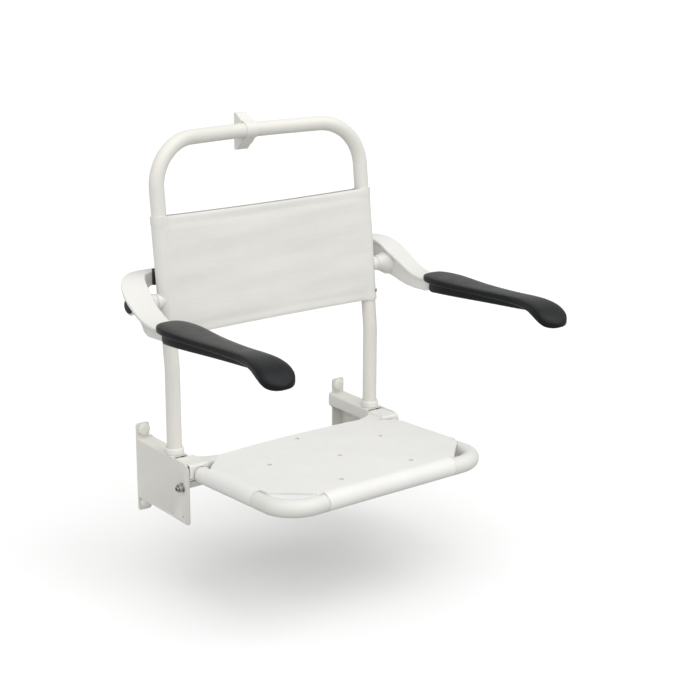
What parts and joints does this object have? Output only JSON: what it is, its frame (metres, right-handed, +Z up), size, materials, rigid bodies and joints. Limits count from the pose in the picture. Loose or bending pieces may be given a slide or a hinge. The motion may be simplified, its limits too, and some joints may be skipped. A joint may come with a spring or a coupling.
{
  "type": "wall-mounted shower chair",
  "caption": "Wall-hung folding shower chair: bent tube back with stretched fabric, fold-up drained seat and fold-up padded arm supports on wall brackets.",
  "frame": {"origin": "on the wall plane, midway between the two wall brackets, level with the top faces of the bracket arms", "axes": "+Y into the wall, -Y the way the sitter faces, +X to the sitter's left, +Z up"},
  "size_m": [0.6042, 0.514, 0.6744],
  "materials": {
    "powder_coat": "smooth gloss powder coat, warm white",
    "coated_fabric": "coated woven cloth, matt, light grey white",
    "white_plastic": "satin moulded plastic, warm white",
    "seat_plastic": "satin moulded plastic, white",
    "bearing_plastic": "plain bearing plastic, cream",
    "cast_white": "gloss powder coat on a casting, white",
    "pad_foam": "integral skin foam, charcoal, satin",
    "black_rubber": "moulded rubber, black",
    "black_steel": "black oxide",
    "stainless": "turned stainless steel"
  },
  "bodies": {
    "root": {"back_frame_tube": "powder_coat", "back_fabric_sleeve": "coated_fabric", "top_support_base": "white_plastic", "top_support_clamp": "white_plastic", "top_support_screw": "stainless", "top_support_clamp_screw": "stainless", "right_wall_bracket": "powder_coat", "right_upper_wall_screw": "stainless", "right_upper_wall_screw_cap": "white_plastic", "right_lower_wall_screw": "stainless", "right_lower_wall_screw_cap": "white_plastic", "right_tube_collar": "white_plastic", "right_tube_foot_screw": "stainless", "right_fabric_screw": "black_steel", "right_hinge_pin": "stainless", "right_stop_bolt": "stainless", "right_stop_bolt_washer": "stainless", "right_stop_bolt_nut": "stainless", "right_arm_pivot_bolt": "stainless", "right_arm_pivot_insert": "stainless", "right_arm_pivot_spacer": "white_plastic", "left_wall_bracket": "powder_coat", "left_upper_wall_screw": "stainless", "left_upper_wall_screw_cap": "white_plastic", "left_lower_wall_screw": "stainless", "left_lower_wall_screw_cap": "white_plastic", "left_tube_collar": "white_plastic", "left_tube_foot_screw": "stainless", "left_fabric_screw": "black_steel", "left_hinge_pin": "stainless", "left_stop_bolt": "stainless", "left_stop_bolt_washer": "stainless", "left_stop_bolt_nut": "stainless", "left_arm_pivot_bolt": "stainless", "left_arm_pivot_insert": "stainless", "left_arm_pivot_spacer": "white_plastic"},
    "seat": {"seat_frame_tube": "powder_coat", "seat_panel": "seat_plastic", "seat_cross_bar": "powder_coat", "right_hinge_cover": "white_plastic", "right_hinge_bush": "bearing_plastic", "right_corner_sleeve": "seat_plastic", "right_panel_screw": "stainless", "left_hinge_cover": "white_plastic", "left_hinge_bush": "bearing_plastic", "left_corner_sleeve": "seat_plastic", "left_panel_screw": "stainless"},
    "left_arm": {"left_arm_casting": "cast_white", "left_arm_bush": "bearing_plastic", "left_arm_pivot_cap": "black_rubber", "left_arm_stop_buffer": "black_rubber", "left_arm_pad": "pad_foam", "left_arm_pad_screw": "stainless"},
    "right_arm": {"right_arm_casting": "cast_white", "right_arm_bush": "bearing_plastic", "right_arm_pivot_cap": "black_rubber", "right_arm_stop_buffer": "black_rubber", "right_arm_pad": "pad_foam", "right_arm_pad_screw": "stainless"}
  },
  "joints": [
    {"name": "seat_fold", "type": "hinge", "parent": "root", "child": "seat", "pos_m": [0, -0.15, -0.02], "axis": [-1, 0, 0], "range_deg": [0, 92]},
    {"name": "left_arm_fold", "type": "hinge", "parent": "root", "child": "left_arm", "pos_m": [-0.24, -0.0888, 0.262], "axis": [-1, 0, 0], "range_deg": [0, 97]},
    {"name": "right_arm_fold", "type": "hinge", "parent": "root", "child": "right_arm", "pos_m": [0.24, -0.0888, 0.262], "axis": [-1, 0, 0], "range_deg": [0, 97]}
  ]
}
